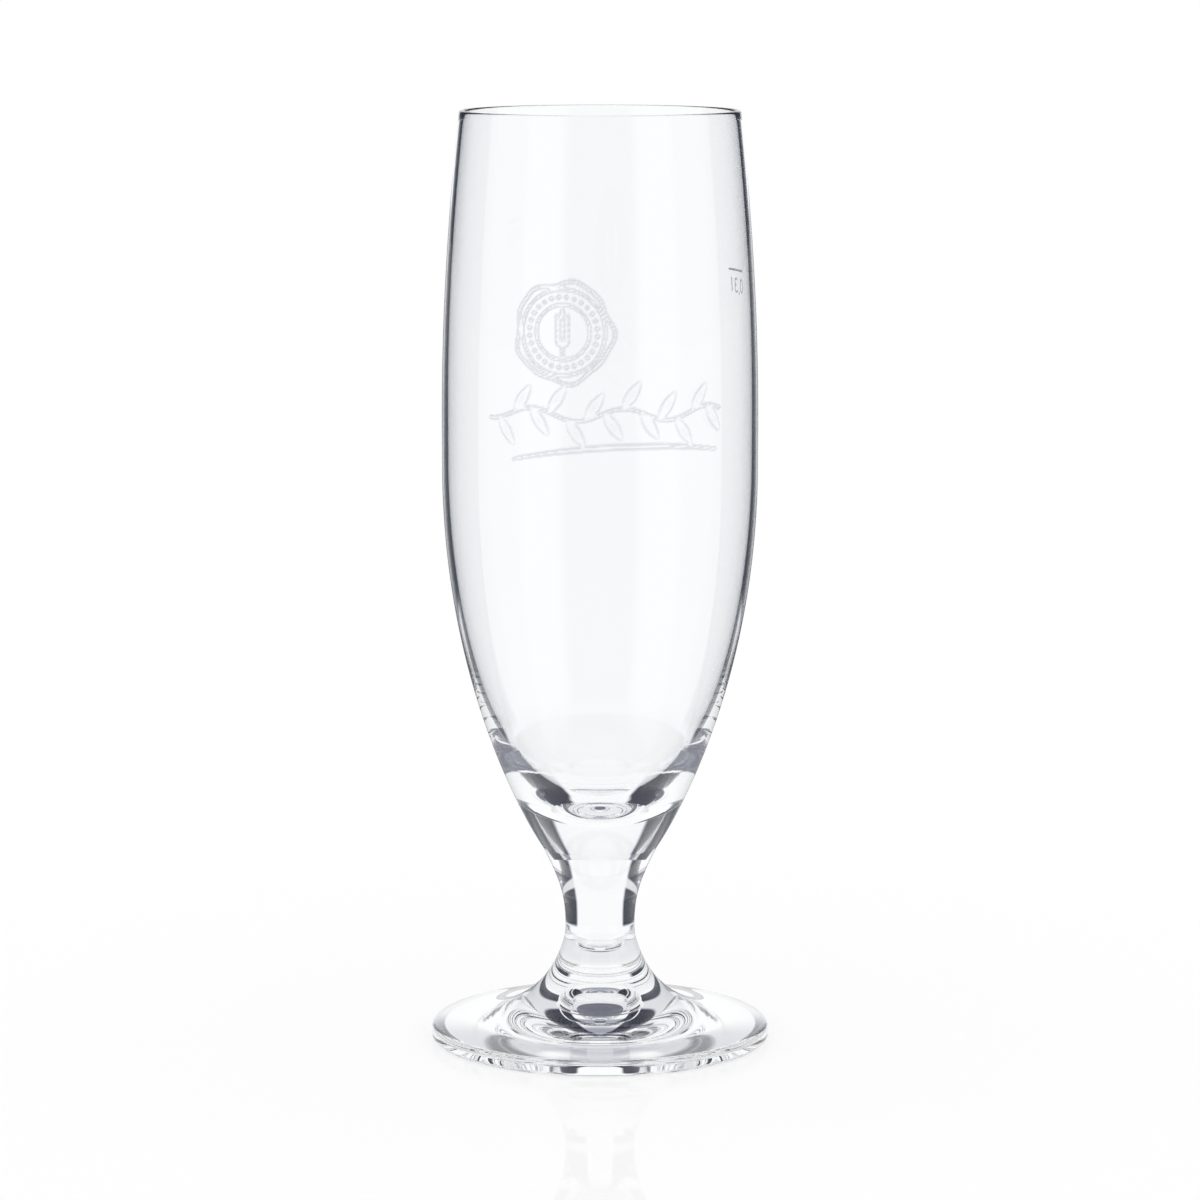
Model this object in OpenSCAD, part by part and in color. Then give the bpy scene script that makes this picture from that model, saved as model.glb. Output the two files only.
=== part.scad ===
// Footed pilsner glass, 0.3 l to its line, made of three pieces of clear glass that are fused
// hot: a blown bowl, a solid pressed stem and a pressed disc foot.
// The glass stands on z = 0 with its axis on Z. All lengths are in millimetres.
// Each piece is one half outline of arcs and Bezier curves, turned about the axis.

/* [Bowl] */
// Height of the bowl, from its seam on the stem to the rim
bowl_h = 159.5; // [140:0.5:190]
// Outer diameter at the rim
rim_d = 60.2; // [52:0.2:70]
// Outer diameter at the belly, the widest place
belly_d = 68; // [62:0.5:78]
// Height of the belly above the seam
belly_h = 83.5; // [74:0.5:95]
// Diameter of the seam between the bowl and the stem
seam_d = 25.2; // [19:0.2:30]
// Angle between the bowl's side and the vertical at the seam, in degrees
seam_lean = 33.3; // [24:0.1:40]
// Angle between the bowl's side and the vertical at the rim, in degrees
rim_lean = 6.3; // [0:0.1:12]

/* [Bowl wall] */
// Thickness of the wall at the rim
rim_wall = 1.1; // [0.8:0.1:1.6]
// Thickness of the wall at the belly
belly_wall = 1.3; // [0.9:0.1:2]
// Thickness of the solid base, from the seam up to the inner floor
base_t = 8; // [7:0.5:14]
// Length of the level stretch that the inner floor starts with, from the axis out
floor_pull = 24; // [18:0.5:25]

/* [Stem] */
// Height of the stem, from its seam on the foot to the bowl
stem_h = 20.8; // [16:0.2:45]
// Diameter of the neck, the narrowest place
neck_d = 15.1; // [12:0.1:16]
// Height of the neck above the seam on the foot
neck_h = 3.1; // [2:0.1:5]
// Diameter of the seam between the stem and the foot
foot_seam_d = 15.8; // [14:0.1:17]
// Angle between the stem's side and the vertical under the bowl, in degrees
stem_lean = 26.7; // [15:0.1:35]

/* [Foot] */
// Diameter of the foot
foot_d = 73.8; // [64:0.2:86]
// Height of the foot, from the table to its seam on the stem
foot_h = 21.7; // [18:0.1:26]
// Thickness of the foot at its edge
edge_t = 3.5; // [2.6:0.1:5]
// Radius of the rounding on top of the edge
edge_top_r = 1.5; // [0.6:0.1:1.8]
// Radius of the rounding under the edge
edge_under_r = 0.9; // [0.3:0.1:1.2]
// Angle between the flare's side and the vertical at the seam, in degrees
flare_lean = 16; // [8:0.1:30]
// Angle between the top of the foot and the level at its edge, in degrees
plate_rise = 9; // [4:0.1:14]

/* [Underside] */
// Width of the flat ring that the glass rests on
rest_w = 2.4; // [1.2:0.2:5]
// Height of the shallow hollow inside the resting ring
hollow_h = 2; // [0.6:0.1:2.6]
// Diameter of the kick-up, the dome under the stem
dome_d = 13.6; // [10:0.2:18]
// Height of the top of the kick-up above the table
dome_h = 9.4; // [6:0.1:11]

/* [Hidden] */

// How far each curve follows its first and last directions
seam_pull = 10.7;
belly_pull_low = 44.1;
belly_pull_high = 13.6;
rim_pull = 38.7;
inner_belly_pull = 30;
stem_top_pull = 7.4;
neck_pull_high = 7.5;
neck_pull_low = 1.2;
foot_seam_pull = 0.8;
flare_pull = 16.4;
plate_pull = 9.8;
hollow_pull = 14;
dome_crown_pull = 4.2;
dome_side_pull = 5.5;

// Number of stretches in a long curve and in a small rounding
curve_steps = 24;
round_steps = 8;
$fn = 128;

seam_r = seam_d / 2;
belly_r = belly_d / 2;
rim_r = rim_d / 2;
neck_r = neck_d / 2;
foot_seam_r = foot_seam_d / 2;
foot_r = foot_d / 2;
dome_r = dome_d / 2;

// Height of each seam above the table
stem_z = foot_h;
bowl_z = stem_z + stem_h;

// A point of a Bezier curve with four control points, at the share t of its way
function bezier_point(p, t) =
    pow(1 - t, 3) * p[0] + 3 * pow(1 - t, 2) * t * p[1]
    + 3 * (1 - t) * t * t * p[2] + pow(t, 3) * p[3];

// The whole curve, without its first point where another curve ends on that point
function bezier(p, first = 0) =
    [for (i = [first:curve_steps]) bezier_point(p, i / curve_steps)];

// An arc about a centre, from one angle to another in degrees
function arc(centre, r, from, to) =
    [for (i = [0:round_steps])
        let (a = from + (to - from) * i / round_steps)
        centre + r * [cos(a), sin(a)]];

// A step of a length in a direction that leans outwards from straight up by an angle
function leaning(length, lean) = length * [sin(lean), cos(lean)];

// The bowl's side from the seam up to the belly
function bowl_low_side() =
    let (start = [seam_r, bowl_z], end = [belly_r, bowl_z + belly_h])
    bezier([start, start + leaning(seam_pull, seam_lean), end - [0, belly_pull_low], end]);

// The bowl's side from the belly up to the lip. The inside runs the same way, set in by
// the wall's thickness at the belly and at the rim.
function bowl_high_side(at_belly = 0, at_rim = 0) =
    let (start = [belly_r - at_belly, bowl_z + belly_h],
         end = [rim_r - at_rim, bowl_z + bowl_h - rim_wall / 2])
    bezier([start, start + [0, belly_pull_high],
            end - leaning(rim_pull, -rim_lean), end], first = 1);

// The inside of the bowl from the middle of its floor up to the belly
function bowl_inner_low() =
    let (start = [0, bowl_z + base_t], end = [belly_r - belly_wall, bowl_z + belly_h])
    bezier([start, start + [floor_pull, 0], end - [0, inner_belly_pull], end]);

// The same points from last to first
function reversed(points) = [for (i = [len(points) - 1:-1:0]) points[i]];

// The blown bowl: a thin wall that thickens down to a solid base, under a rounded lip
module bowl() {
    lip = [rim_r - rim_wall / 2, bowl_z + bowl_h - rim_wall / 2];
    outline = concat(
        [[0, bowl_z]],
        bowl_low_side(),
        bowl_high_side(),
        arc(lip, rim_wall / 2, 0, 180),
        reversed(bowl_high_side(belly_wall, rim_wall)),
        reversed(bowl_inner_low()));
    color("aliceblue") rotate_extrude() polygon(outline);
}

// The solid stem: it spreads a little to the foot and much more to the bowl
module stem() {
    low = [foot_seam_r, stem_z];
    neck = [neck_r, stem_z + neck_h];
    top = [seam_r, bowl_z];
    outline = concat(
        [[0, stem_z]],
        bezier([low, low + leaning(foot_seam_pull, -flare_lean), neck - [0, neck_pull_low], neck]),
        bezier([neck, neck + [0, neck_pull_high],
                top - leaning(stem_top_pull, stem_lean), top], first = 1),
        [[0, bowl_z]]);
    color("azure") rotate_extrude() polygon(outline);
}

// The pressed foot: a flare that runs out into a thin disc, hollow underneath
module foot() {
    seam = [foot_seam_r, stem_z];
    // The edge's upper rounding meets the sloping top, its lower one the resting ring
    upper = [foot_r - edge_top_r, edge_t - edge_top_r];
    lower = [foot_r - edge_under_r, edge_under_r];
    shoulder = upper + leaning(edge_top_r, plate_rise);
    ring_in = foot_r - edge_under_r - rest_w;
    // The kick-up rises from the shallow hollow and closes in a dome on the axis
    dome_foot = [dome_r, hollow_h];
    crown = [0, dome_h];
    outline = concat(
        [[0, stem_z]],
        bezier([seam, seam + leaning(flare_pull, 180 - flare_lean),
                shoulder + leaning(plate_pull, plate_rise - 90), shoulder]),
        arc(upper, edge_top_r, 90 - plate_rise, 0),
        arc(lower, edge_under_r, 0, -90),
        bezier([[ring_in, 0], [ring_in - hollow_pull, hollow_h],
                dome_foot + [hollow_pull, 0], dome_foot]),
        bezier([dome_foot, dome_foot + [0, dome_side_pull],
                crown + [dome_crown_pull, 0], crown], first = 1));
    color("ghostwhite") rotate_extrude() polygon(outline);
}

bowl();
stem();
foot();
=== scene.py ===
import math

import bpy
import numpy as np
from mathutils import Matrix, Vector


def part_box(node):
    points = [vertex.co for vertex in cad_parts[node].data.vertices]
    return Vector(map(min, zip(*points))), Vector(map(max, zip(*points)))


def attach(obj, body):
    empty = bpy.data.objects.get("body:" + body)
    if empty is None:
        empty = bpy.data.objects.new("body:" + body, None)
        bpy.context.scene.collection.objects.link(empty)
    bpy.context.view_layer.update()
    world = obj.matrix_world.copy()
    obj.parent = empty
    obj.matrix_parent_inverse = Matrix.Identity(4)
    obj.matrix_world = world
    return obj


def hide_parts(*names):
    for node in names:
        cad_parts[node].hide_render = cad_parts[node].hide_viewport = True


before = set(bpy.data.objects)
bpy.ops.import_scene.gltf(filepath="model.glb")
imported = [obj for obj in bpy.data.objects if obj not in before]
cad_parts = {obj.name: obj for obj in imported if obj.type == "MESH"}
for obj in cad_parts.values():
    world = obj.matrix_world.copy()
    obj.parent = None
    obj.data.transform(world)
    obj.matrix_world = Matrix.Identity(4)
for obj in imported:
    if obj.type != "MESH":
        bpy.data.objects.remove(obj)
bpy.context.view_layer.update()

# The looks of a footed pilsner glass: clear glass in three fused pieces, a moulded relief
# on the front of the bowl, a printed capacity mark on its back right, and a white studio.
# Lengths are in metres, and the glass stands on z = 0 with its front towards -Y.

MM = 0.001

# Heights and radii of the three solids, from their boxes
BOWL_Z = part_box("bowl")[0].z
RIM_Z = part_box("bowl")[1].z
BELLY_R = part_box("bowl")[1].x
STEM_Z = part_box("stem")[0].z
SEAM_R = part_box("stem")[1].x
FOOT_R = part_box("foot")[1].x

# Bowl, in the same sizes as the solid. A lean is an angle from the vertical, and a pull is
# how far a curve follows its first or last direction.
RIM_R = 30.1 * MM
BELLY_Z = BOWL_Z + 83.5 * MM
FLOOR_Z = BOWL_Z + 8 * MM
SEAM_LEAN = math.radians(33.3)
RIM_LEAN = math.radians(6.3)
RIM_WALL = 1.1 * MM
BELLY_WALL = 1.3 * MM
SEAM_PULL = 10.7 * MM
BELLY_PULL_LOW = 44.1 * MM
BELLY_PULL_HIGH = 13.6 * MM
RIM_PULL = 38.7 * MM
FLOOR_PULL = 24 * MM
INNER_BELLY_PULL = 30 * MM

# Stem
NECK_R = 7.55 * MM
NECK_Z = STEM_Z + 3.1 * MM
FOOT_SEAM_R = 7.9 * MM
STEM_LEAN = math.radians(26.7)
STEM_TOP_PULL = 7.4 * MM
NECK_PULL_HIGH = 7.5 * MM
NECK_PULL_LOW = 1.2 * MM
FOOT_SEAM_PULL = 0.8 * MM

# Foot
EDGE_T = 3.5 * MM
EDGE_TOP_R = 1.5 * MM
EDGE_UNDER_R = 0.9 * MM
FLARE_LEAN = math.radians(16)
PLATE_RISE = math.radians(9)
FLARE_PULL = 16.4 * MM
PLATE_PULL = 9.8 * MM
REST_W = 2.4 * MM
HOLLOW_H = 2.0 * MM
HOLLOW_PULL = 14 * MM
DOME_R = 6.8 * MM
DOME_H = 9.4 * MM
DOME_CROWN_PULL = 4.2 * MM
DOME_SIDE_PULL = 5.5 * MM

# Fineness of the meshes: points on a curve before it is spaced, stretches of a rounding,
# and the steps between rings and between columns. The bowl's rings lie closer where its
# wall is thick, and closest where the relief is.
CURVE_STEPS = 600
ROUND_STEPS = 12
UNDER_STEPS = 10
THICK_Z = 110 * MM
THICK_STEP = 0.8 * MM
RELIEF_STEP = 0.34 * MM
OUTER_STEP = 1.5 * MM
INNER_STEP = 2 * MM
STEM_STEP = 0.2 * MM
FOOT_STEP = 0.25 * MM
HOLLOW_STEP = 0.4 * MM
DOME_STEP = 0.2 * MM
RELIEF_TURN = math.radians(0.58)
BOWL_TURN = math.radians(4)
STEM_COLUMNS = 200
FOOT_COLUMNS = 256

# Relief on the front of the bowl. Its places and sizes are in millimetres from its middle,
# to the right and up along the bowl.
RELIEF_Z = 150 * MM
RELIEF_H = 0.3 * MM
RELIEF_HALF_W = 30
RELIEF_HALF_H = 21
# Slope, in full heights a millimetre, from which a side of the relief gets painted shade
RELIEF_STEEP = 0.5

# Seal: a waved edge, two rings with beads between them, and an ear of barley
SEAL_AT = (-7.8, 7.5)
SEAL_R = 10.3
SEAL_EDGE_HALF_W = 0.4
# Waves of the edge: how many go round, how high they are and where they start
SEAL_WAVES = ((5, 0.45, 0.6), (9, 0.25, 0.0))
# Rings: radius and half the width
SEAL_RINGS = ((8.9, 0.3), (5.7, 0.28))
BEADS = 28
BEADS_R = 7.3
BEAD_R = 0.5
STRAW = ((0, -4.7), (0, -2.0))
STRAW_W = 0.6
TIP_AT = (0, 3.9)
TIP_L = 2.4
TIP_W = 1.2
GRAIN_PAIRS = 5
GRAIN_ASIDE = 0.95
GRAIN_LOW = -2.0
GRAIN_STEP = 1.2
GRAIN_LEAN = 0.45
GRAIN_L = 2.3
GRAIN_W = 1.1
# How much narrower a grain or a leaf is at its tip
GRAIN_TAPER = 0.35

# Spray: a stalk in waves, leaves with veins, and a long stroke beneath
STALK_FROM = -25
STALK_TO = 28
STALK_POINTS = 90
STALK_Y = -9.6
STALK_WAVE = 1.3
STALK_BEND = 3.1
STALK_W = 0.7
LEAF_FROM = -22.5
LEAF_STEP = 3.9
LEAF_L = 7.0
LEAF_W = 2.6
# From where a leaf springs: right and away from the stalk, to its middle, to its vein's
# end, and the direction that it points in
LEAF_MIDDLE = (1.9, 2.9)
VEIN_END = (3.2, 4.9)
LEAF_POINT = (2.0, 3.0)
VEIN_W = 0.35
VEIN_SHARE = 0.3
VEIN_H = 0.55
STROKE_FROM = -19
STROKE_TO = 27
STROKE_PARTS = 23
STROKE_Y = -16.2
STROKE_MIDDLE = 8
STROKE_SAG = 0.0042
STROKE_W = 0.35
STROKE_SWELL = 0.9

# Capacity mark: a printed line and its figures on the back right. Places and sizes of the
# strokes are in millimetres from the line's middle.
MARK_TURN = math.radians(20.6)
MARK_Z = 167.1 * MM
# How far the print stands proud of the glass, and how deep it lies in it
MARK_T = 0.03 * MM
MARK_SUNK = 0.01 * MM
LINE_HALF_L = 4.3
LINE_POINTS = 12
LINE_W = 0.45
FIGURE_W = 0.32
FIGURES_Y = -3.3
# Places of the nought, the comma, the three and the l along the line
FIGURES_X = (-2.9, -1.1, 0.6, 3.1)
# Nought: its radii, and the two angles that it runs between, in degrees
NOUGHT_RADII = (0.85, 1.45)
NOUGHT_ENDS = (90, 450)
NOUGHT_POINTS = 25
COMMA = ((0.1, -1.3), (0.05, -1.6), (-0.2, -2.0))
# Bows of the three: middle, radii, and the two angles that each runs between, in degrees
THREE_BOWS = (((0, 0.75), (0.75, 0.72), 150, -90), ((0, -0.72), (0.85, 0.78), 90, -155))
BOW_POINTS = 14
LITRE = ((0, 1.6), (0, 0), (0, -1.5))
ENAMEL_SCALE = 2500.0
ENAMEL_DETAIL = 2.0
ENAMEL_GRIT = (0.35, 0.65)
ENAMEL_ROUGH = 0.45
ENAMEL_DARK = (0.45, 0.48, 0.53, 1)
ENAMEL_PALE = (0.58, 0.61, 0.66, 1)

# Glass: its colour, and the painted shade on the steep sides of the relief
GLASS = (0.986, 0.993, 1.0, 1)
GLASS_STEEP_SHADE = (0.3, 0.33, 0.38, 1)
STEEP_SHADE_SHARE = 0.6
GLASS_IOR = 1.5

# Camera: a long lens in front of the glass, a little above it and looking down
CAMERA_BACK = 939.1 * MM
CAMERA_UP = 239.4 * MM
CAMERA_DIP = math.radians(8.65)
CAMERA_LENS = 131.7
CAMERA_CLIP = (0.01, 20.0)
SENSOR = 36

# Colours of the studio: white cloth, haze and dark flags
WHITE = (1, 1, 1, 1)
MIST = (0.455, 0.475, 0.54, 1)
SLATE = (0.022, 0.027, 0.044, 1)

# Studio by direction. back runs from -1 in front of the glass to 1 behind it, and up is the
# share upwards. Two numbers are the start and the end of a smooth step.
FLAG_BACK = (0.13, 0.22)
CLOTH_BACK = (0.86, 0.9)
WING_BACK = (0.955, 0.97)
FRONT_FLAG = (0.85, 0.93)
FRONT_FLAG_DARK = 0.8
GAP_UP = (0.19, 0.32)
GAP_SOFT = 0.02
GAP_LIGHT = 0.8
CEILING_UP = (0.62, 0.74)
CEILING_DARK = 0.6
# How much of the flags light through the thin wall sees, and the number of surfaces that
# light crosses in one piece of glass and in both walls of the bowl
THIN = 0.15
SURFACES = (2.0, 4.0)
# What mirrors see: a level all round, darker behind, bright strips beside the front
MIRROR_LEVEL = 0.5
MIRROR_BACK = (0.5, 0.8)
MIRROR_BACK_DARK = 0.38
STRIP_FRONT = (0.52, 0.87)
STRIP_SOFT = 0.05
STRIP_LIGHT = 0.5
MIRROR_CEILING_DARK = 0.7
MIRROR_CLOTH = (0.93, 0.97)

# Studio painted on the table as shade, in millimetres from the glass's axis: where the painted
# flags begin, and where they reach further behind the glass for trapped light. Then the length
# of the last stretch of light that left the glass high up.
FLAG_NEAR = (84.0, 108.0)
WING_NEAR = (390.0, 450.0)
HIGH_LENGTH = (300.0, 400.0)
# Distance from the axis over the length of the last stretch: low when it is steep
SHALLOW = (0.985, 1.0)

# Painted shadow and painted caustic light on the table under the foot, in millimetres from the
# axis and by toward, which runs from -1 behind the glass to 1 in front of it
KICK_LEVEL = 0.15
KICK_R = (6.6, 7.2)
KICK_LIGHT = 0.7
HOLLOW_R = (12.0, 26.0)
HOLLOW_LIGHT = 0.15
RING_R = (33.6, 36.2)
RING_SOFT = 0.3
RING_BEHIND = 0.12
RING_FRONT = 0.85
RING_TOWARD = (-0.3, 0.3)
APRON_R = (37.0, 84.0)
APRON_SOFT = 2.0
APRON_TOWARD = (-0.75, -0.55)
APRON_DARK = 0.85
FRONT_TOWARD = (-0.2, 0.35)
FRONT_R = (14.0, 22.0)
FRONT_DARK = 0.35
# Arms of painted shadow: where they run, how far they turn with each millimetre, half their
# width, and the paler vein of painted light in each
ARM_R = (19.0, 34.0)
ARM_SOFT = 1.5
ARM_START_R = 24.0
ARM_TOWARD = 0.45
ARM_CURL = 0.045
ARM_HALF_W = 0.17
ARM_DARK = 0.85
ARM_VEIN_ASIDE = 0.02
ARM_VEIN_HALF_W = 0.035
ARM_VEIN_LIGHT = 0.45
# Painted bright patch of light in front, by toward and by radius: its middle and half its width
PATCH_TOWARD = (0.94, 0.06)
PATCH_R = (28.0, 4.0)

# Floor: half its side in metres, the share of its white that is even near the glass, where
# the rest carries the glass's shadow, and the radii between which all of it becomes even
FLOOR_HALF = 4.0
FLOOR_EVEN = 0.72
FLOOR_EVEN_R = (150.0, 450.0)
FLOOR_ROUGH = 0.02
FLOOR_IOR = 1.45
FLOOR_SHEEN = 0.3

# Light's longest path in bounces: in glass, through fused joints, and off plain surfaces
GLASS_BOUNCES = 40
CLEAR_BOUNCES = 24
PLAIN_BOUNCES = 2

# Smallest length that is divided by, and the distance at which two points are the same
TINY = 1e-6
SAME = 1e-9

# Faces of a piece that is made of four-sided faces alone
NO_TRIANGLES = np.zeros((0, 3), int)


def bezier(start, toward, before, end):
    """Points of a cubic Bezier curve: the four points weighted by the Bernstein polynomials."""
    t = np.linspace(0, 1, CURVE_STEPS + 1)[:, None]
    corners = [np.array(p, float) for p in (start, toward, before, end)]
    weights = [(1 - t) ** 3, 3 * (1 - t) ** 2 * t, 3 * (1 - t) * t ** 2, t ** 3]
    return sum(w * p for w, p in zip(weights, corners))


def leaning(length, lean):
    """A step of a length in a direction that leans outwards from straight up by an angle."""
    return length * np.array([math.sin(lean), math.cos(lean)])


def arc(centre, radius, start, end, steps=ROUND_STEPS):
    """Points on a circle about a centre, from one angle to another."""
    a = np.linspace(start, end, steps + 1)
    return np.array(centre) + radius * np.column_stack([np.cos(a), np.sin(a)])


def chain(*runs):
    """Runs of points joined end to end, each without its first point if that repeats the last."""
    joined = [runs[0]]
    for run in runs[1:]:
        repeats = np.allclose(run[0], joined[-1][-1], atol=SAME)
        joined.append(run[1:] if repeats else run)
    return np.vstack(joined)


def spaced(run, step):
    """The same run of points with an even step along its length."""
    lengths = np.hypot(*np.diff(run, axis=0).T)
    travelled = np.concatenate([[0], np.cumsum(lengths)])
    count = max(2, math.ceil(travelled[-1] / step))
    places = np.linspace(0, travelled[-1], count + 1)
    return np.column_stack([np.interp(places, travelled, run[:, k]) for k in (0, 1)])


def stepped(run, levels, steps):
    """A rising run of points, cut at some heights, with a step of its own for each stretch."""
    bounds = [-math.inf, *levels, math.inf]
    stretches = []
    for low, high, step in zip(bounds[:-1], bounds[1:], steps):
        within = (run[:, 1] >= low) & (run[:, 1] <= high)
        stretches.append(spaced(run[within], step))
    return chain(*stretches)


def on_axis(z):
    """A single point on the axis, as a run."""
    return np.array([[0, z]])


def bowl_high_side(set_in_belly=0.0, set_in_rim=0.0):
    """The bowl's side above the belly, set in by the wall where it is the inner one."""
    start = np.array([BELLY_R - set_in_belly, BELLY_Z])
    end = np.array([RIM_R - set_in_rim, RIM_Z - RIM_WALL / 2])
    return bezier(start, start + [0, BELLY_PULL_HIGH], end - leaning(RIM_PULL, -RIM_LEAN), end)


def bowl_runs():
    """The bowl's half outline in three runs: outer side, lip, and inner side with the floor."""
    seam = np.array([SEAM_R, BOWL_Z])
    belly = np.array([BELLY_R, BELLY_Z])
    low = bezier(seam, seam + leaning(SEAM_PULL, SEAM_LEAN), belly - [0, BELLY_PULL_LOW], belly)
    outer = chain(low, bowl_high_side())
    lip = arc([RIM_R - RIM_WALL / 2, RIM_Z - RIM_WALL / 2], RIM_WALL / 2, 0, math.pi)
    floor = np.array([0, FLOOR_Z])
    inner_belly = np.array([BELLY_R - BELLY_WALL, BELLY_Z])
    basin = bezier(floor, floor + [FLOOR_PULL, 0], inner_belly - [0, INNER_BELLY_PULL], inner_belly)
    inner = chain(basin, bowl_high_side(BELLY_WALL, RIM_WALL))
    return outer, lip, inner


def stem_run():
    """The stem's side from the foot up to the bowl."""
    low = np.array([FOOT_SEAM_R, STEM_Z])
    neck = np.array([NECK_R, NECK_Z])
    top = np.array([SEAM_R, BOWL_Z])
    spread = bezier(low, low + leaning(FOOT_SEAM_PULL, -FLARE_LEAN),
                    neck - [0, NECK_PULL_LOW], neck)
    rise = bezier(neck, neck + [0, NECK_PULL_HIGH], top - leaning(STEM_TOP_PULL, STEM_LEAN), top)
    return chain(spread, rise)


def foot_runs():
    """The foot's half outline in four runs: top, edge, shallow hollow and kick-up's dome."""
    seam = np.array([FOOT_SEAM_R, STEM_Z])
    upper = np.array([FOOT_R - EDGE_TOP_R, EDGE_T - EDGE_TOP_R])
    lower = np.array([FOOT_R - EDGE_UNDER_R, EDGE_UNDER_R])
    shoulder = upper + leaning(EDGE_TOP_R, PLATE_RISE)
    ring_in = np.array([FOOT_R - EDGE_UNDER_R - REST_W, 0])
    dome_foot = np.array([DOME_R, HOLLOW_H])
    crown = np.array([0, DOME_H])
    top = bezier(seam, seam + leaning(FLARE_PULL, math.pi - FLARE_LEAN),
                 shoulder + leaning(PLATE_PULL, PLATE_RISE - math.pi / 2), shoulder)
    edge = chain(arc(upper, EDGE_TOP_R, math.pi / 2 - PLATE_RISE, 0),
                 arc(lower, EDGE_UNDER_R, 0, -math.pi / 2, UNDER_STEPS), ring_in[None])
    hollow = bezier(ring_in, ring_in + [-HOLLOW_PULL, HOLLOW_H],
                    dome_foot + [HOLLOW_PULL, 0], dome_foot)
    dome = bezier(dome_foot, dome_foot + [0, DOME_SIDE_PULL], crown + [DOME_CROWN_PULL, 0], crown)
    return top, edge, hollow, dome


def make_piece(name, points, quads, materials, triangles=NO_TRIANGLES, slots=None, sharp=()):
    """A mesh object from arrays of points, four-sided and three-sided faces."""
    mesh = bpy.data.meshes.new(name)
    corners = np.concatenate([quads.ravel(), triangles.ravel()]).astype(np.int32)
    sides = np.concatenate([np.full(len(quads), 4), np.full(len(triangles), 3)])
    starts = np.concatenate([[0], np.cumsum(sides)[:-1]]).astype(np.int32)
    mesh.vertices.add(len(points))
    mesh.vertices.foreach_set("co", np.ascontiguousarray(points, np.float32).ravel())
    mesh.loops.add(len(corners))
    mesh.loops.foreach_set("vertex_index", corners)
    mesh.polygons.add(len(sides))
    mesh.polygons.foreach_set("loop_start", starts)
    mesh.polygons.foreach_set("use_smooth", np.ones(len(sides), bool))
    for material in materials:
        mesh.materials.append(material)
    if slots is not None:
        mesh.polygons.foreach_set("material_index", slots.astype(np.int32))
    mesh.update(calc_edges=True)
    mesh.validate()
    if len(sharp):
        ends = np.empty(2 * len(mesh.edges), np.int32)
        mesh.edges.foreach_get("vertices", ends)
        on_ring = np.isin(ends.reshape(-1, 2), sharp).all(axis=1)
        mesh.edges.foreach_set("use_edge_sharp", on_ring)
    piece = bpy.data.objects.new(name, mesh)
    bpy.context.scene.collection.objects.link(piece)
    return piece


def add_values(piece, name, values):
    """Stores a number for each point of a mesh, for its material to read."""
    store = piece.data.attributes.new(name, "FLOAT", "POINT")
    store.data.foreach_set("value", np.ascontiguousarray(values, np.float32))


def turned(name, rings, angles, materials, joint_rings=(), swell=None):
    """A closed surface turned about the axis: ring radii and heights on rows, angles on columns.

    Each point lies its ring's radius times the cosine and sine of its angle from the axis.
    The first and last rings lie on the axis and close there in a fan. The faces between the
    axis and a ring named in joint_rings are fused joints and take the second material.
    swell adds a height to the radius, from an array on rows and columns.
    """
    inside = rings[1:-1]
    rows, columns = len(inside), len(angles)
    radius = inside[:, 0][:, None] + (0 if swell is None else swell)
    across = radius * np.cos(angles)
    along = radius * np.sin(angles)
    height = np.broadcast_to(inside[:, 1][:, None], across.shape)
    grid = np.stack([across, along, height], axis=2).reshape(-1, 3)
    points = np.vstack([grid, [[0, 0, rings[0, 1]], [0, 0, rings[-1, 1]]]])
    index = np.arange(rows * columns).reshape(rows, columns)
    beside = np.roll(index, -1, axis=1)
    quads = np.stack([index[:-1], beside[:-1], beside[1:], index[1:]], axis=2).reshape(-1, 4)
    first, last = rows * columns, rows * columns + 1
    low_fan = np.stack([np.full(columns, first), beside[0], index[0]], axis=1)
    high_fan = np.stack([np.full(columns, last), index[-1], beside[-1]], axis=1)
    slots = np.zeros(len(quads) + 2 * columns, int)
    sharp = []
    if 0 in joint_rings:
        slots[len(quads):len(quads) + columns] = 1
        sharp.append(index[0])
    if -1 in joint_rings:
        slots[len(quads) + columns:] = 1
        sharp.append(index[-1])
    sharp = np.concatenate(sharp) if sharp else ()
    return make_piece(name, points, quads, materials, np.vstack([low_fan, high_fan]), slots, sharp)


class Wire:
    """A socket's value in a node tree. Operators on wires add the Math nodes they stand for."""

    def __init__(self, web, socket):
        self.web = web
        self.socket = socket

    def math(self, operation, *values):
        """A Math node of an operation on this wire and other values."""
        node = self.web.add("ShaderNodeMath", {"operation": operation})
        for place, value in enumerate((self, *values)):
            self.web.feed(node.inputs[place], value)
        return Wire(self.web, node.outputs[0])

    def __add__(self, other):
        return self.math("ADD", other)

    __radd__ = __add__

    def __mul__(self, other):
        return self.math("MULTIPLY", other)

    __rmul__ = __mul__

    def __sub__(self, other):
        return self.math("SUBTRACT", other)

    def __rsub__(self, other):
        return self * -1 + other

    def __truediv__(self, other):
        return self.math("DIVIDE", other)

    def clamped(self):
        """The wire held between 0 and 1."""
        return self.math("MINIMUM", 1.0).math("MAXIMUM", 0.0)

    def rising(self, low, high):
        """A smooth step that is 0 below one value and 1 above another."""
        t = ((self - low) / (high - low)).clamped()
        return t * t * (3.0 - 2.0 * t)

    def rising_over(self, level, soft):
        """A smooth step that is 0 below a level and 1 above it, over a soft width each way."""
        return ((self - level) / (2.0 * soft) + 0.5).rising(0.0, 1.0)

    def between(self, low, high, soft):
        """1 between two levels and 0 outside them, with soft edges."""
        return self.rising_over(low, soft) * (1.0 - self.rising_over(high, soft))

    def off_by(self, middle, half_width):
        """The square of the distance from a middle, where half the width is 1."""
        away = (self - middle) / half_width
        return away * away


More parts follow.
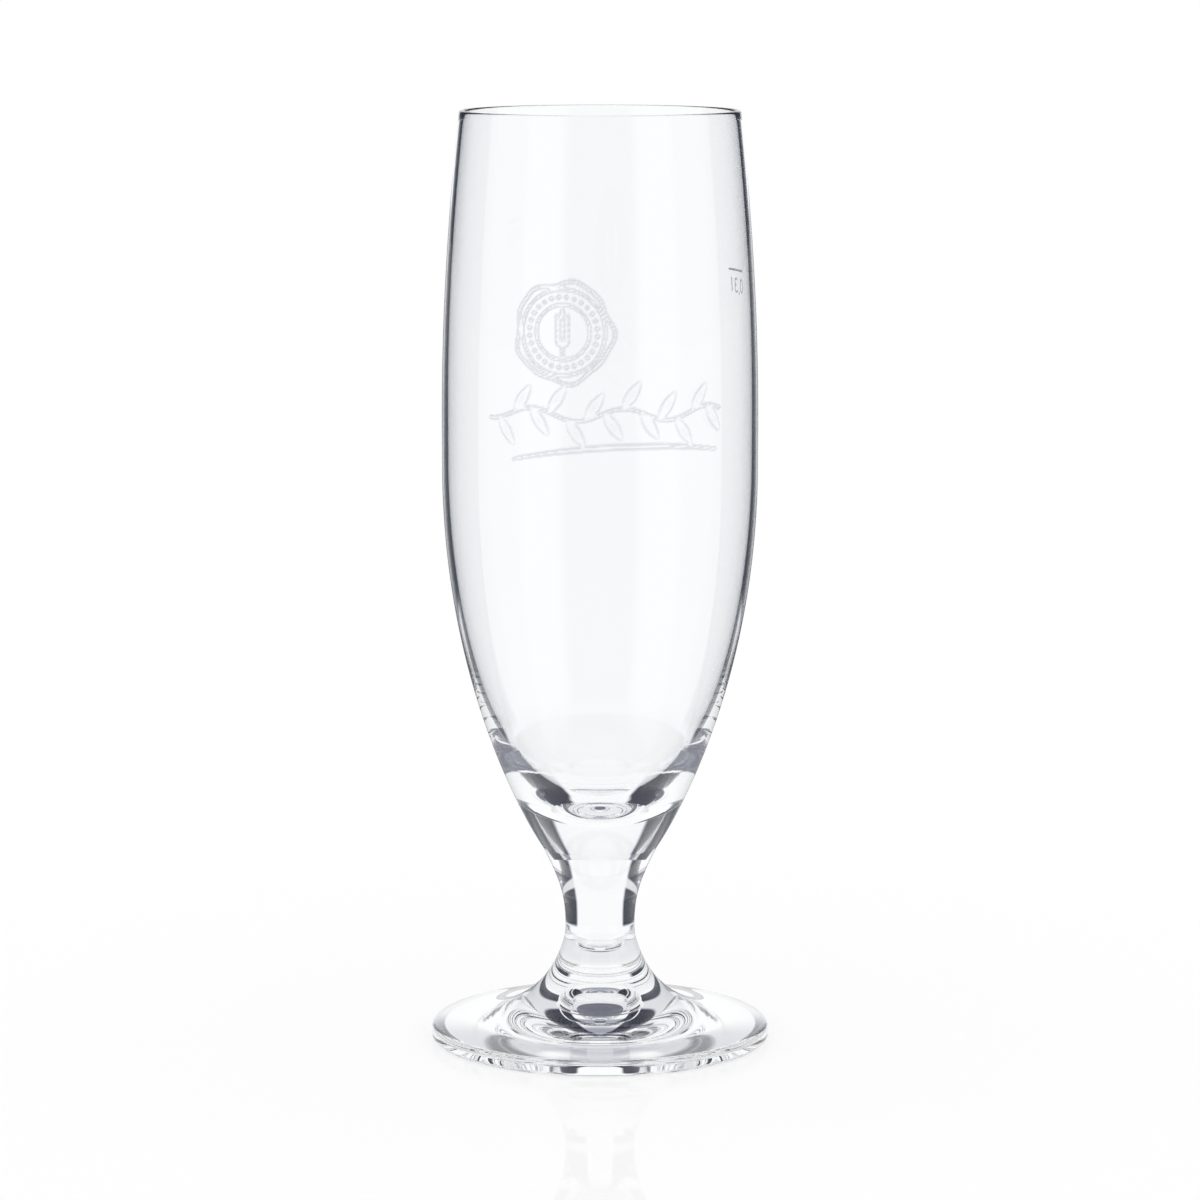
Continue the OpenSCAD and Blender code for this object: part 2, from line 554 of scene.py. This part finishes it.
class Web:
    """A node tree being wired."""

    def __init__(self, owner):
        owner.use_nodes = True
        self.tree = owner.node_tree
        self.tree.nodes.clear()

    def feed(self, socket, value):
        """Links a wire to a socket, or sets a number, colour or vector on it."""
        if isinstance(value, Wire):
            self.tree.links.new(value.socket, socket)
        elif hasattr(value, "is_output"):
            self.tree.links.new(value, socket)
        else:
            socket.default_value = value

    def add(self, kind, settings=None, sockets=None):
        """A node of a kind, with its settings made first and its sockets fed after."""
        node = self.tree.nodes.new(kind)
        for name, value in (settings or {}).items():
            setattr(node, name, value)
        for name, value in (sockets or {}).items():
            self.feed(node.inputs[name], value)
        return node

    def wire(self, node, name):
        """The wire from a node's output."""
        return Wire(self, node.outputs[name])

    def parts(self, coordinates):
        """The three wires of a place or direction that Texture Coordinate gives."""
        place = self.add("ShaderNodeTexCoord")
        split = self.add("ShaderNodeSeparateXYZ", {}, {"Vector": place.outputs[coordinates]})
        return [self.wire(split, axis) for axis in "XYZ"]

    def blended(self, share, low, high):
        """A colour between two colours."""
        node = self.add("ShaderNodeMix", {"data_type": "RGBA"})
        colours = [s for s in node.inputs if s.type == "RGBA"]
        self.feed(node.inputs[0], share)
        self.feed(colours[0], low)
        self.feed(colours[1], high)
        return next(s for s in node.outputs if s.type == "RGBA")

    def shade(self, level):
        """The studio's colour at a level: slate in the dark, bluish in between, then white."""
        return self.blended(level * 2.0 - 1.0, self.blended(level * 2.0, SLATE, MIST), WHITE)

    def mixed(self, share, low, high):
        """A shader between two shaders."""
        node = self.add("ShaderNodeMixShader", {}, {"Fac": share})
        self.tree.links.new(low.outputs[0], node.inputs[1])
        self.tree.links.new(high.outputs[0], node.inputs[2])
        return node

    def finish(self, shader, kind="ShaderNodeOutputMaterial"):
        """The tree's output."""
        self.tree.links.new(shader.outputs[0], self.add(kind).inputs["Surface"])


def clear_glass():
    """Colourless soda-lime glass. The relief's steep sides carry painted shade, a little darker,
    in place of the light that they bend away, so that it reads on the thin wall."""
    material = bpy.data.materials.new("clear_glass")
    web = Web(material)
    slope = web.add("ShaderNodeAttribute", {"attribute_name": "relief_steep_shade"})
    # Painted shade on the relief's steep sides
    colour = web.blended(web.wire(slope, "Fac") * STEEP_SHADE_SHARE, GLASS, GLASS_STEEP_SHADE)
    web.finish(web.add("ShaderNodeBsdfPrincipled", {}, {
        "Base Color": colour, "Roughness": 0.0, "IOR": GLASS_IOR, "Transmission Weight": 1.0}))
    return material


def fused_joint():
    """The seam disc inside the glass, where two pieces are melted into one: nothing to see."""
    material = bpy.data.materials.new("fused_joint")
    web = Web(material)
    web.finish(web.add("ShaderNodeBsdfTransparent"))
    return material


def grey_enamel():
    """Fired grey print, slightly speckled by its grit."""
    material = bpy.data.materials.new("grey_enamel")
    web = Web(material)
    place = web.add("ShaderNodeTexCoord")
    grit = web.add("ShaderNodeTexNoise", {}, {
        "Vector": place.outputs["Object"], "Scale": ENAMEL_SCALE, "Detail": ENAMEL_DETAIL})
    colour = web.blended(web.wire(grit, "Fac").rising(*ENAMEL_GRIT), ENAMEL_DARK, ENAMEL_PALE)
    web.finish(web.add("ShaderNodeBsdfPrincipled", {}, {
        "Base Color": colour, "Roughness": ENAMEL_ROUGH}))
    return material


def rounded(depth):
    """A profile that rises steeply from a shape's outline and levels off inside it: the upper
    quarter of a circle over the depth from 0 at the outline to 1."""
    inside = np.clip(depth, 0, 1)
    return np.sqrt(1 - (1 - inside) ** 2)


def ridge(u, v, path, width):
    """A rounded ridge along a path of points: highest on it, and flat beyond half its width."""
    nearest = np.full(u.shape, np.inf)
    for (ax, ay), (bx, by) in zip(path[:-1], path[1:]):
        length2 = (bx - ax) ** 2 + (by - ay) ** 2
        t = np.clip(((u - ax) * (bx - ax) + (v - ay) * (by - ay)) / length2, 0, 1)
        nearest = np.minimum(nearest, np.hypot(u - ax - t * (bx - ax), v - ay - t * (by - ay)))
    return rounded(1 - nearest / (width / 2))


def grain(u, v, centre, lean, length, width):
    """A seed or leaf: a rounded oval that tapers to its tip, leaning from upright by an angle."""
    du, dv = u - centre[0], v - centre[1]
    along = (du * math.sin(lean) + dv * math.cos(lean)) / (length / 2)
    across = (du * math.cos(lean) - dv * math.sin(lean)) / (width / 2)
    taper = np.where(along > 0, 1 - GRAIN_TAPER * np.clip(along, 0, 1), 1)
    return rounded(1 - np.hypot(along, across / taper))


def seal(u, v):
    """A round seal: distance and turn about its middle give the waved edge, two rings and a
    row of beads, and inside them stands an ear of barley with grains in pairs."""
    du, dv = u - SEAL_AT[0], v - SEAL_AT[1]
    away, turn = np.hypot(du, dv), np.arctan2(dv, du)
    edge = SEAL_R + sum(high * np.cos(count * turn + start) for count, high, start in SEAL_WAVES)
    field = rounded(1 - abs(away - edge) / SEAL_EDGE_HALF_W)
    for radius, half_width in SEAL_RINGS:
        field = np.maximum(field, rounded(1 - abs(away - radius) / half_width))
    share = turn / (2 * math.pi) * BEADS
    beside = (share % 1 - 0.5) * away * 2 * math.pi / BEADS
    field = np.maximum(field, rounded(1 - np.hypot(beside, away - BEADS_R) / BEAD_R))
    field = np.maximum(field, ridge(du, dv, STRAW, STRAW_W))
    field = np.maximum(field, grain(du, dv, TIP_AT, 0.0, TIP_L, TIP_W))
    for k in range(GRAIN_PAIRS):
        for hand in (-1, 1):
            place = (hand * GRAIN_ASIDE, GRAIN_LOW + GRAIN_STEP * k)
            field = np.maximum(field, grain(du, dv, place, hand * GRAIN_LEAN, GRAIN_L, GRAIN_W))
    return field


def stalk_y(x):
    """The height of the spray's stalk: a sine wave along it."""
    return STALK_Y + STALK_WAVE * np.sin(x / STALK_BEND)


def spray(u, v):
    """A leafy spray under the seal: a waved stalk with leaves above and below it by turns,
    each with its vein pressed in, and a long plain stroke beneath, thick in its middle."""
    along = np.linspace(STALK_FROM, STALK_TO, STALK_POINTS)
    field = ridge(u, v, np.column_stack([along, stalk_y(along)]), STALK_W)
    for k, x in enumerate(np.arange(LEAF_FROM, STALK_TO, LEAF_STEP)):
        hand = 1 if k % 2 else -1
        y = stalk_y(x)
        lean = math.atan2(LEAF_POINT[0], hand * LEAF_POINT[1])
        middle = (x + LEAF_MIDDLE[0], y + hand * LEAF_MIDDLE[1])
        field = np.maximum(field, grain(u, v, middle, lean, LEAF_L, LEAF_W))
        vein = ridge(u, v, [(x, y), (x + VEIN_END[0], y + hand * VEIN_END[1])], VEIN_W)
        field = np.where(vein > VEIN_SHARE, np.minimum(field, VEIN_H), field)
    ends = np.linspace(STROKE_FROM, STROKE_TO, STROKE_PARTS + 1)
    stroke = np.column_stack([ends, STROKE_Y - (ends - STROKE_MIDDLE) ** 2 * STROKE_SAG])
    for k in range(STROKE_PARTS):
        width = STROKE_W + STROKE_SWELL * math.sin(math.pi * (k + 0.5) / STROKE_PARTS)
        field = np.maximum(field, ridge(u, v, stroke[k:k + 2], width))
    return field


def relief_height(rings, angles, outer_count):
    """The relief's height from 0 to 1 on the bowl's rows and columns, on its outer side only.

    A place on the bowl is given in millimetres round it and up it from the relief's middle.
    """
    aside = (angles + math.pi / 2)[None] * rings[1:-1, :1] / MM
    up = np.broadcast_to((rings[1:-1, 1:] - RELIEF_Z) / MM, aside.shape)
    outside = (np.arange(len(rings) - 2) < outer_count)[:, None]
    moulded = outside & (abs(aside) < RELIEF_HALF_W) & (abs(up) < RELIEF_HALF_H)
    height = np.zeros(aside.shape)
    u, v = aside[moulded], up[moulded]
    height[moulded] = np.maximum(seal(u, v), spray(u, v))
    return height


def relief_angles():
    """Angles round the axis, close together about the front and wider elsewhere."""
    front = -math.pi / 2
    half_turn = RELIEF_HALF_W * MM / BELLY_R
    rest_turn = 2 * math.pi - 2 * half_turn
    close_count = math.ceil(2 * half_turn / RELIEF_TURN) + 1
    rest_count = math.ceil(rest_turn / BOWL_TURN) + 1
    close = np.linspace(front - half_turn, front + half_turn, close_count)
    rest = front + half_turn + np.linspace(0, rest_turn, rest_count)
    return np.concatenate([close, rest[1:-1]])


def even_angles(count):
    """Angles round the axis at equal steps."""
    return np.linspace(0, 2 * math.pi, count, endpoint=False)


def make_bowl(glass, joint):
    """The bowl with its relief. Its steep parts go to the glass as an attribute, for painted shade.
    """
    outer, lip, inner = bowl_runs()
    relief_low, relief_high = RELIEF_Z - RELIEF_HALF_H * MM, RELIEF_Z + RELIEF_HALF_H * MM
    side = stepped(outer, (THICK_Z, relief_low, relief_high),
                   (THICK_STEP, OUTER_STEP, RELIEF_STEP, OUTER_STEP))
    inside = stepped(inner, (THICK_Z,), (THICK_STEP, INNER_STEP))[::-1]
    rings = chain(on_axis(BOWL_Z), side, lip, inside)
    angles = relief_angles()
    height = relief_height(rings, angles, len(side))
    bowl = turned("bowl_glass", rings, angles, [glass, joint], joint_rings=(0,),
                  swell=height * RELIEF_H)
    slope = np.hypot(*np.gradient(height, RELIEF_STEP / MM))
    # How steep the relief is, for the painted shade on its sides
    steep = np.clip(slope - RELIEF_STEEP, 0, 1)
    # The two points on the axis come last, and are flat
    add_values(bowl, "relief_steep_shade", np.append(steep, [0, 0]))
    return bowl


def make_stem(glass, joint):
    """The solid stem, fused to the foot below and to the bowl above."""
    rings = chain(on_axis(STEM_Z), spaced(stem_run(), STEM_STEP), on_axis(BOWL_Z))
    return turned("stem_glass", rings, even_angles(STEM_COLUMNS), [glass, joint],
                  joint_rings=(0, -1))


def make_foot(glass, joint):
    """The foot, from the kick-up's crown round the edge to its seam on the stem."""
    top, edge, hollow, dome = foot_runs()
    rings = chain(on_axis(STEM_Z), spaced(top, FOOT_STEP), edge, spaced(hollow, HOLLOW_STEP),
                  spaced(dome, DOME_STEP))
    return turned("foot_glass", rings[::-1], even_angles(FOOT_COLUMNS), [glass, joint],
                  joint_rings=(-1,))


def make_glass():
    """The three pieces of glass, each in place of its solid."""
    glass = clear_glass()
    joint = fused_joint()
    for make, node in ((make_bowl, "bowl"), (make_stem, "stem"), (make_foot, "foot")):
        piece = make(glass, joint)
        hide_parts(node)
        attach(piece, "root")


def oval(middle, radii, start, end, count):
    """Points on an ellipse from one angle to another, in degrees."""
    turns = np.radians(np.linspace(start, end, count))
    return [(middle[0] + radii[0] * math.cos(a), middle[1] + radii[1] * math.sin(a)) for a in turns]


def figure_paths():
    """The strokes of the figures 0,3 l: ellipses, parts of ellipses and short lines."""
    nought = oval((0, 0), NOUGHT_RADII, *NOUGHT_ENDS, NOUGHT_POINTS)
    upper, lower = (oval(*bow, BOW_POINTS) for bow in THREE_BOWS)
    return nought, COMMA, upper + lower[1:], LITRE


def ribbon(path, width, radius_at):
    """A printed stroke: a thin raised strip along a path on the bowl's outer side.

    The path is in metres round the bowl and up it. The strip is a closed box section that
    follows the path: two edges in the glass and two that stand proud of it.
    """
    path = np.array(path, float)
    steps = np.gradient(path, axis=0)
    steps /= np.hypot(*steps.T)[:, None]
    aside = np.column_stack([-steps[:, 1], steps[:, 0]]) * width / 2
    sides = [path + aside, path - aside, path - aside, path + aside]
    lifts = [-MARK_SUNK, -MARK_SUNK, MARK_T, MARK_T]
    rings = []
    for flat, lift in zip(sides, lifts):
        base = radius_at(flat[:, 1])
        turn = MARK_TURN + flat[:, 0] / base
        out = base + lift
        rings.append(np.column_stack([out * np.cos(turn), out * np.sin(turn), flat[:, 1]]))
    count = len(path)
    faces = []
    for a, b in ((0, 1), (1, 2), (2, 3), (3, 0)):
        low, high = np.arange(count - 1) + a * count, np.arange(count - 1) + b * count
        faces.append(np.column_stack([low, low + 1, high + 1, high]))
    start = np.arange(4) * count
    faces.append(np.array([start, start[::-1] + count - 1]))
    return np.vstack(rings), np.vstack(faces)


def make_mark():
    """The capacity line with its figures, printed in pale grey enamel on the outer side."""
    outer, _, _ = bowl_runs()

    def radius_at(z):
        return np.interp(z, outer[:, 1], outer[:, 0])

    line = [(x, 0) for x in np.linspace(-LINE_HALF_L, LINE_HALF_L, LINE_POINTS)]
    strokes = [(line, 0, 0, LINE_W)]
    for path, x in zip(figure_paths(), FIGURES_X):
        strokes.append((path, x, FIGURES_Y, FIGURE_W))
    points, faces, total = [], [], 0
    for path, x, y, width in strokes:
        placed = [((px + x) * MM, MARK_Z + (py + y) * MM) for px, py in path]
        stroke, sides = ribbon(placed, width * MM, radius_at)
        points.append(stroke)
        faces.append(sides + total)
        total += len(stroke)
    mark = make_piece("capacity_mark", np.vstack(points), np.vstack(faces), [grey_enamel()])
    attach(mark, "root")


class Light:
    """The kinds of light that ask the studio for its colour, each from 0 to 1.

    seen is what the camera sees directly or in a gloss. mirrored is light off the outside of
    the glass, and bent is light that comes through glass.
    solid is 1 after one piece of glass and 0 after both walls of the bowl. trapped is 1 for
    light that was mirrored on its way. length is the last stretch of its way, in millimetres.
    """

    def __init__(self, web):
        path = web.add("ShaderNodeLightPath")
        direct = 1.0 - web.wire(path, "Diffuse Depth").clamped()
        self.seen = web.wire(path, "Is Camera Ray").math("MAXIMUM", web.wire(path, "Is Glossy Ray"))
        self.mirrored = web.wire(path, "Is Glossy Ray") * web.wire(path, "Is Singular Ray") * direct
        self.bent = web.wire(path, "Is Transmission Ray") * direct
        self.solid = 1.0 - web.wire(path, "Transmission Depth").rising(*SURFACES)
        self.trapped = web.wire(path, "Glossy Depth").clamped()
        self.length = web.wire(path, "Ray Length") / MM


def flags(back, wings, solid):
    """How dark the two flags are: they stand between the sides and the white cloth behind.

    wings is 1 for light to which the flags reach further behind the glass. The light that
    crosses the bowl's thin walls hardly sees the flags.
    """
    cloth = back.rising(*CLOTH_BACK) * (1.0 - wings)
    return (1.0 - cloth) * back.rising(*FLAG_BACK) * (THIN + solid * (1.0 - THIN))


def wing(back):
    """1 but for the narrow part of the cloth behind the glass that trapped light sees."""
    return 1.0 - back.rising(*WING_BACK)


def front_level(back, solid):
    """The level of what solid glass sees of the front: a dark flag straight ahead of it."""
    return 1.0 - (back * -1.0).rising(*FRONT_FLAG) * solid * FRONT_FLAG_DARK


def mirror_level(back):
    """The level of what mirrored light sees: darker behind, bright strips beside the front."""
    strips = (back * -1.0).between(*STRIP_FRONT, STRIP_SOFT) * STRIP_LIGHT
    return MIRROR_LEVEL - back.rising(*MIRROR_BACK) * MIRROR_BACK_DARK + strips


def painted_foot_shade(toward, radius, far):
    """The level of the table under the foot, which only light through the glass sees: painted
    shadow and painted caustic light that the foot throws on it.

    It is dark under the kick-up and paler outwards. A dark ring of painted shadow lies where
    the foot stands, darkest in front, with an apron of painted shade outside it that is open
    at the back. The front is in soft painted shade, crossed by a curved arm of painted shadow
    on each side with a paler vein in it, and has one painted bright patch in the middle.
    """
    hollow = radius.rising(*HOLLOW_R) * HOLLOW_LIGHT
    level = KICK_LEVEL + radius.rising(*KICK_R) * KICK_LIGHT + hollow
    ring_dark = RING_BEHIND + toward.rising(*RING_TOWARD) * RING_FRONT
    ring = radius.between(*RING_R, RING_SOFT) * ring_dark
    apron = radius.between(*APRON_R, APRON_SOFT) * toward.rising(*APRON_TOWARD) * APRON_DARK
    curl = toward - ARM_TOWARD - (radius - ARM_START_R) * ARM_CURL
    vein = (1.0 - curl.off_by(ARM_VEIN_ASIDE, ARM_VEIN_HALF_W)).clamped() * ARM_VEIN_LIGHT
    arm = (1.0 - curl.off_by(0.0, ARM_HALF_W)).clamped() * radius.between(*ARM_R, ARM_SOFT)
    shaded = toward.rising(*FRONT_TOWARD) * radius.rising(*FRONT_R) * (1.0 - far) * FRONT_DARK
    front = shaded + arm * (1.0 - vein) * ARM_DARK
    patch = (1.0 - toward.off_by(*PATCH_TOWARD) - radius.off_by(*PATCH_R)).clamped()
    return level * (1.0 - ring) * (1.0 - apron) * (1.0 - (1.0 - patch) * front)


def make_floor():
    """A white floor with a faint gloss. What sees it directly sees white, less the glass's shadow.

    Light from the glass sees the studio's flags painted on it as shade, and the painted shadow
    and caustic light under the foot. Light that left the glass high up and steeply has crossed
    one thin wall, and hardly sees the flags. Light mirrored by the glass sees a painted grey
    room on it far off.
    """
    material = bpy.data.materials.new("white_floor")
    web = Web(material)
    light = Light(web)
    across, along, _ = web.parts("Object")
    radius = (across * across + along * along).math("SQRT") / MM
    back = along / MM / radius.math("MAXIMUM", TINY)
    far = radius.rising(*FLAG_NEAR)
    wings = wing(back) * radius.rising(*WING_NEAR) * light.trapped
    steep = 1.0 - (radius / light.length.math("MAXIMUM", TINY)).rising(*SHALLOW)
    high = light.length.rising(*HIGH_LENGTH) * steep
    solid = light.solid * (1.0 - high).math("MAXIMUM", light.trapped)
    bent = (1.0 - flags(back, wings, solid)) * front_level(back, solid)
    # Light through the glass sees the foot's painted shadow and caustic light on the floor near it,
    # and the studio's flags painted further out
    through = painted_foot_shade(back * -1.0, radius, far) * (1.0 - far * (1.0 - bent))
    # Painted reflection: far off, light mirrored by the glass sees the floor as a grey room with
    # bright strips
    mirrored = light.mirrored * far * (1.0 - mirror_level(back))
    even = FLOOR_EVEN + radius.rising(*FLOOR_EVEN_R) * (1.0 - FLOOR_EVEN)
    diffuse = web.add("ShaderNodeBsdfDiffuse", {}, {"Color": WHITE})
    gloss = web.add("ShaderNodeBsdfAnisotropic", {}, {"Color": WHITE, "Roughness": FLOOR_ROUGH})
    lit = web.add("ShaderNodeEmission", {}, {"Color": web.shade(1.0 - mirrored), "Strength": 1.0})
    shaded = web.add("ShaderNodeEmission", {}, {"Color": web.shade(through), "Strength": 1.0})
    sheen = web.wire(web.add("ShaderNodeFresnel", {}, {"IOR": FLOOR_IOR}), "Fac") * FLOOR_SHEEN
    plain = web.mixed(sheen, web.mixed(light.seen * even, diffuse, lit), gloss)
    web.finish(web.mixed(light.bent, plain, shaded))
    corners = np.array([[-1, -1, 0], [1, -1, 0], [1, 1, 0], [-1, 1, 0]]) * FLOOR_HALF
    floor = make_piece("floor", corners, np.array([[0, 1, 2, 3]]), [material])


def make_world():
    """A white studio. What sees it directly sees even white, and so do the floor and the print.

    Light bent by the glass sees the flags, with a pale gap across them and a grey ceiling.
    Light mirrored by the glass sees a grey room with bright strips.
    """
    world = bpy.data.worlds.new("studio")
    bpy.context.scene.world = world
    web = Web(world)
    light = Light(web)
    across, along, up = web.parts("Generated")
    back = along / (across * across + along * along).math("SQRT").math("MAXIMUM", TINY)
    ceiling = up.rising(*CEILING_UP)
    gap = up.between(*GAP_UP, GAP_SOFT) * GAP_LIGHT
    dark = flags(back, wing(back) * light.trapped, light.solid) * (1.0 - gap)
    bent = (1.0 - dark) * (1.0 - ceiling * CEILING_DARK) * front_level(back, light.solid)
    mirrored = mirror_level(back) * (1.0 - ceiling * MIRROR_CEILING_DARK)
    mirrored = mirrored.math("MAXIMUM", back.rising(*MIRROR_CLOTH))
    plain = web.add("ShaderNodeBackground", {}, {"Color": WHITE, "Strength": 1.0})
    through = web.add("ShaderNodeBackground", {}, {"Color": web.shade(bent), "Strength": 1.0})
    off = web.add("ShaderNodeBackground", {}, {"Color": web.shade(mirrored), "Strength": 1.0})
    shader = web.mixed(light.bent, web.mixed(light.mirrored, plain, off), through)
    web.finish(shader, "ShaderNodeOutputWorld")


def make_camera():
    """The camera of the photograph, which looks straight at the front and a little down."""
    data = bpy.data.cameras.new("camera")
    data.sensor_width = SENSOR
    data.lens = CAMERA_LENS
    data.clip_start, data.clip_end = CAMERA_CLIP
    camera = bpy.data.objects.new("camera", data)
    camera.location = (0, -CAMERA_BACK, CAMERA_UP)
    camera.rotation_euler = (math.pi / 2 - CAMERA_DIP, 0, 0)
    bpy.context.scene.collection.objects.link(camera)
    bpy.context.scene.camera = camera


def set_up_scene():
    """Colours as written, and long paths for light that is mirrored many times in the glass."""
    scene = bpy.context.scene
    scene.view_settings.view_transform = "Standard"
    scene.cycles.max_bounces = GLASS_BOUNCES
    scene.cycles.transmission_bounces = GLASS_BOUNCES
    scene.cycles.glossy_bounces = GLASS_BOUNCES
    scene.cycles.transparent_max_bounces = CLEAR_BOUNCES
    scene.cycles.diffuse_bounces = PLAIN_BOUNCES
    scene.cycles.use_denoising = True


make_camera()
make_glass()
make_mark()
make_floor()
make_world()
set_up_scene()
